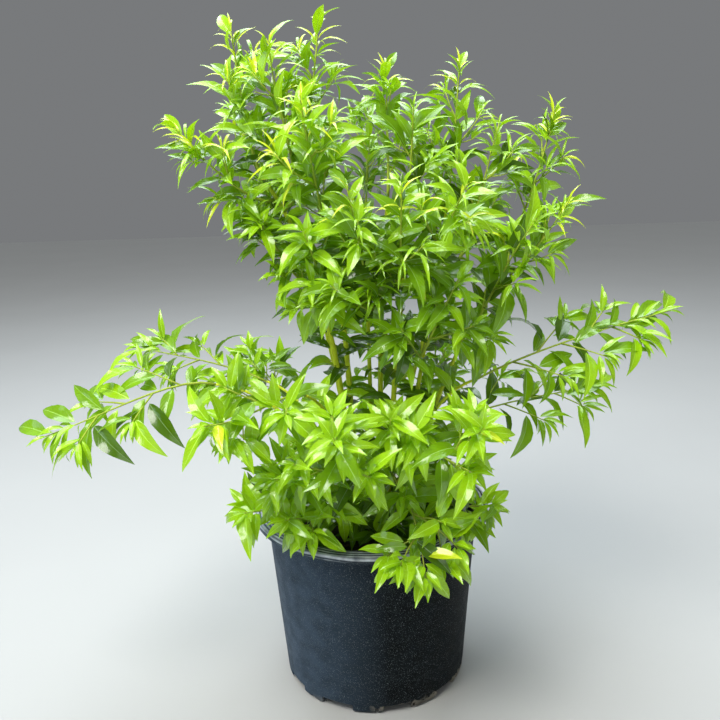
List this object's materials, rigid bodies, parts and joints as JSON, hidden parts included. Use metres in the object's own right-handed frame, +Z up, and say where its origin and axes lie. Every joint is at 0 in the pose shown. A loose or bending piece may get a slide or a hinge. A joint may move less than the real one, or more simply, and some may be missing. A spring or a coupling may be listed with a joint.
{
  "type": "potted flowering shrub",
  "caption": "Evergreen arching shrub with upright leafy canes and low side branches, growing in a tapered plastic nursery pot.",
  "frame": {"origin": "centre of the pot's flat underside", "axes": "+Z up along the pot's axis, -Y towards the front of the plant, +X to the right seen from the front"},
  "size_m": [0.7342, 0.5528, 0.7946],
  "materials": {
    "pot_plastic": "blue-black speckled nursery pot plastic with scuffs and a worn lip",
    "mix": "dark bark-based potting mix",
    "bark": "smooth yellow-green young bark, browner at the foot",
    "leaf": "glossy leaves from deep green to bright lime, with paler midribs"
  },
  "bodies": {
    "root": {"pot": "pot_plastic", "potting_mix": "mix", "left_leader": "bark", "left_twin": "bark", "centre_leader": "bark", "centre_twin": "bark", "right_leader": "bark", "right_outer_cane": "bark", "left_arm_cane": "bark", "left_upper_arm_cane": "bark", "right_arm_cane": "bark", "right_lower_arm_cane": "bark", "front_left_cane": "bark", "front_cane": "bark", "front_right_cane": "bark", "back_left_cane": "bark", "back_cane": "bark", "back_right_cane": "bark", "back_low_left_cane": "bark", "back_low_right_cane": "bark", "left_crest": "leaf", "left_crest_inner": "leaf", "left_outer": "leaf", "left_low": "leaf", "left_peak": "leaf", "left_front": "leaf", "left_inner": "leaf", "back_crest_left": "leaf", "centre_peak": "leaf", "centre_inner": "leaf", "centre_small": "leaf", "right_front": "leaf", "centre_front": "leaf", "centre_front_left": "leaf", "centre_low": "leaf", "front_mid": "leaf", "right_peak": "leaf", "right_mid": "leaf", "back_crest_right": "leaf", "right_shoulder": "leaf", "right_outer": "leaf", "right_side": "leaf", "left_arm": "leaf", "rim_left": "leaf", "left_arm_upper": "leaf", "right_arm": "leaf", "rim_right_side": "leaf", "right_arm_lower": "leaf", "front_left": "leaf", "front_low_left": "leaf", "rim_front_left": "leaf", "front_centre": "leaf", "front_right": "leaf", "rim_right": "leaf", "back_left": "leaf", "back_centre": "leaf", "rim_back": "leaf", "back_right": "leaf", "back_low_left": "leaf", "back_low_right": "leaf"}
  },
  "joints": []
}
